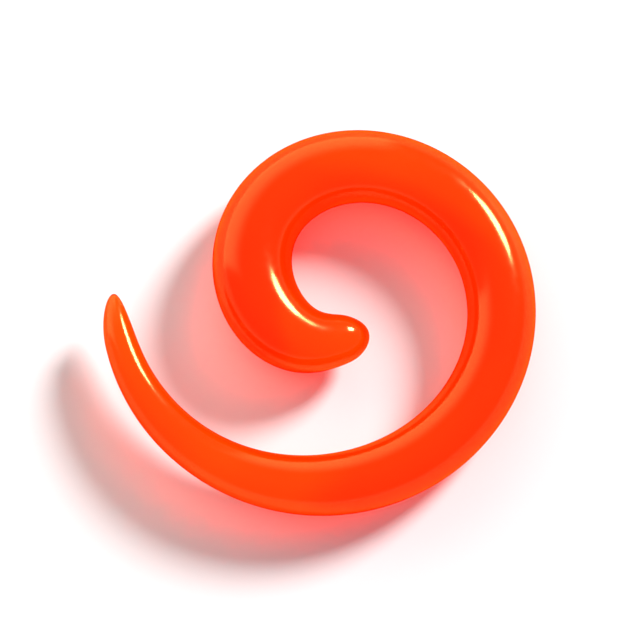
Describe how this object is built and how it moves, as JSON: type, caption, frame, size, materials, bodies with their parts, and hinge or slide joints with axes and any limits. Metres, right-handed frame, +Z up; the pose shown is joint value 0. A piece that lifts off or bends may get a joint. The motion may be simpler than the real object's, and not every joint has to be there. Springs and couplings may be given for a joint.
{
  "type": "spiral ear taper",
  "caption": "Round acrylic rod bent flat into a spiral, fattest near its blunt inner end and thinning to a slim tail, worn in a stretched ear lobe.",
  "frame": {"origin": "under the middle of the bounding box, on the surface that the taper lies on", "axes": "+Z up, square to that surface; +X to the right and +Y to the back as seen by someone with the tail's tip on the left; the coil's own plane leans 1.41 degrees from the surface"},
  "size_m": [0.0322, 0.0296, 0.006],
  "materials": {
    "orange_acrylic": "polished clear-tinted acrylic, bright orange, see-through"
  },
  "bodies": {
    "root": {"spiral_taper": "orange_acrylic"}
  },
  "joints": []
}
